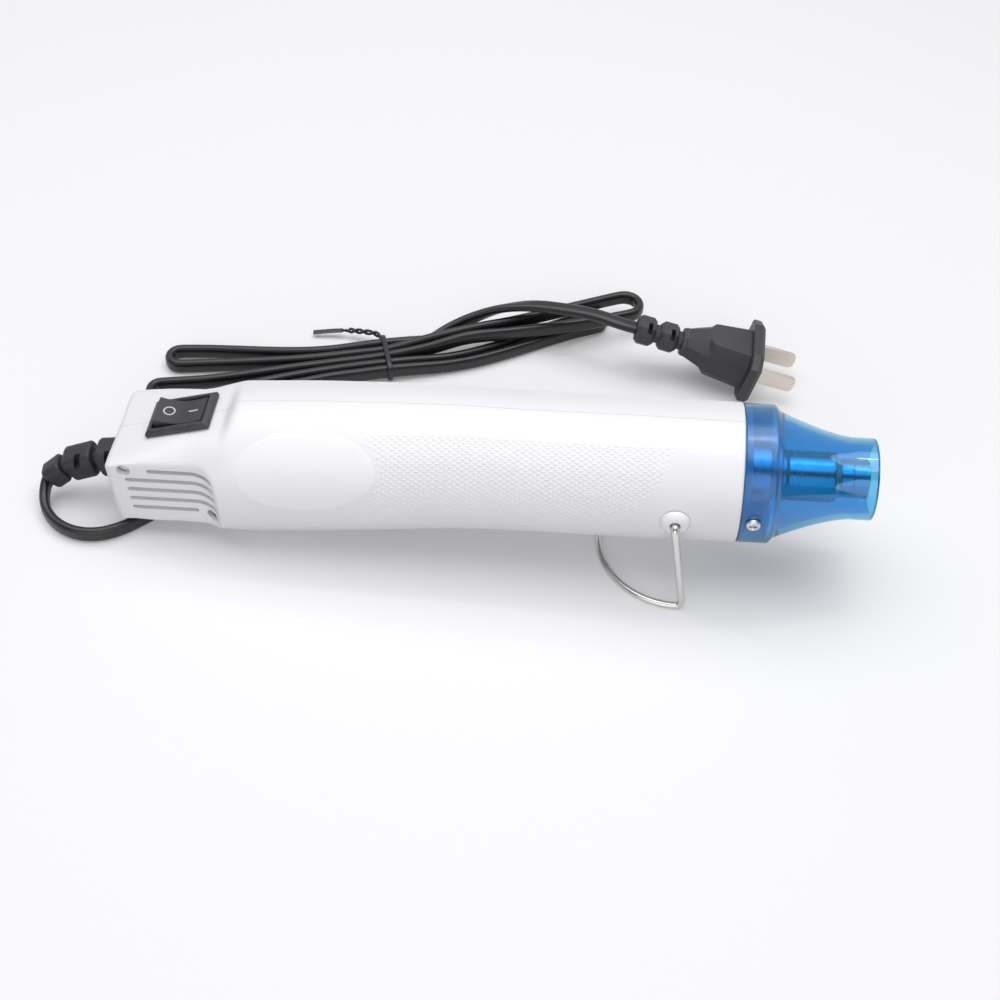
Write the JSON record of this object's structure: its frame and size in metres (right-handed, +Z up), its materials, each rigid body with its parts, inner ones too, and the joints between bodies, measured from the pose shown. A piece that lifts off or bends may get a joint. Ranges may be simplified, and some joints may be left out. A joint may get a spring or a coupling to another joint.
{
  "type": "hot air tool",
  "caption": "Slim handheld hot air tool with a round tapering body, transparent nozzle guard, folding wire stand, rocker switch on the tail and a flat mains cord tied in a hank.",
  "frame": {"origin": "on the table under the middle of the tool, the cord left out", "axes": "+X towards the nozzle, +Z up, the tool standing on its wire stand"},
  "size_m": [0.2616, 0.1408, 0.0585],
  "materials": {
    "white_abs": "satin moulded",
    "blue_polycarbonate": "transparent, polished",
    "stainless_steel": "bright drawn",
    "mica": "matte",
    "nichrome": "dull",
    "black_nylon": "matte",
    "laminate_board": "matte",
    "brass": "stamped",
    "lead_sheath": "satin",
    "black_rubber": "matte",
    "cord_sheath": "satin",
    "coated_wire": "matte",
    "plug_pvc": "satin moulded",
    "nickel_plate": "bright plated"
  },
  "bodies": {
    "body": {"housing_right": "white_abs", "housing_left": "white_abs", "stand_bush_right": "white_abs", "stand_bush_left": "white_abs", "nozzle_guard": "blue_polycarbonate", "heat_barrel": "stainless_steel", "housing_screw_rear": "stainless_steel", "housing_screw_belly": "stainless_steel", "guard_screw_right": "stainless_steel", "guard_screw_left": "stainless_steel", "motor_can": "stainless_steel", "thermal_fuse": "stainless_steel", "barrel_ring": "mica", "mica_sleeve": "mica", "heater_core": "mica", "air_funnel": "mica", "heater_coil": "nichrome", "switch_frame": "black_nylon", "motor_end_cap": "black_nylon", "motor_mount": "black_nylon", "diode_1": "black_nylon", "diode_2": "black_nylon", "diode_3": "black_nylon", "diode_4": "black_nylon", "rectifier_board": "laminate_board", "switch_terminal_rear": "brass", "switch_terminal_front": "brass", "supply_lead_live": "lead_sheath", "supply_lead_neutral": "lead_sheath", "switched_lead": "lead_sheath", "strain_relief": "black_rubber", "cord_tail": "cord_sheath", "cord_hank": "cord_sheath", "cord_lead": "cord_sheath", "twist_tie": "coated_wire", "plug_body": "plug_pvc", "plug_blade_near": "nickel_plate", "plug_blade_far": "nickel_plate"},
    "stand": {"wire_stand": "stainless_steel"},
    "rocker": {"switch_rocker": "black_nylon"},
    "fan": {"motor_shaft": "stainless_steel", "fan_impeller": "black_nylon"}
  },
  "joints": [
    {"name": "stand_fold", "type": "hinge", "parent": "body", "child": "stand", "pos_m": [0.05711, 0, 0.03571], "axis": [0, 1, 0], "range_deg": [-96, 18]},
    {"name": "switch_rock", "type": "hinge", "parent": "body", "child": "rocker", "pos_m": [-0.09553, 0, 0.03841], "axis": [0, -1, 0], "range_deg": [0, 22]},
    {"name": "fan_spin", "type": "hinge", "parent": "body", "child": "fan", "pos_m": [-0.01726, 0, 0.03142], "axis": [0.9983, 0, 0.0576], "continuous": true}
  ]
}
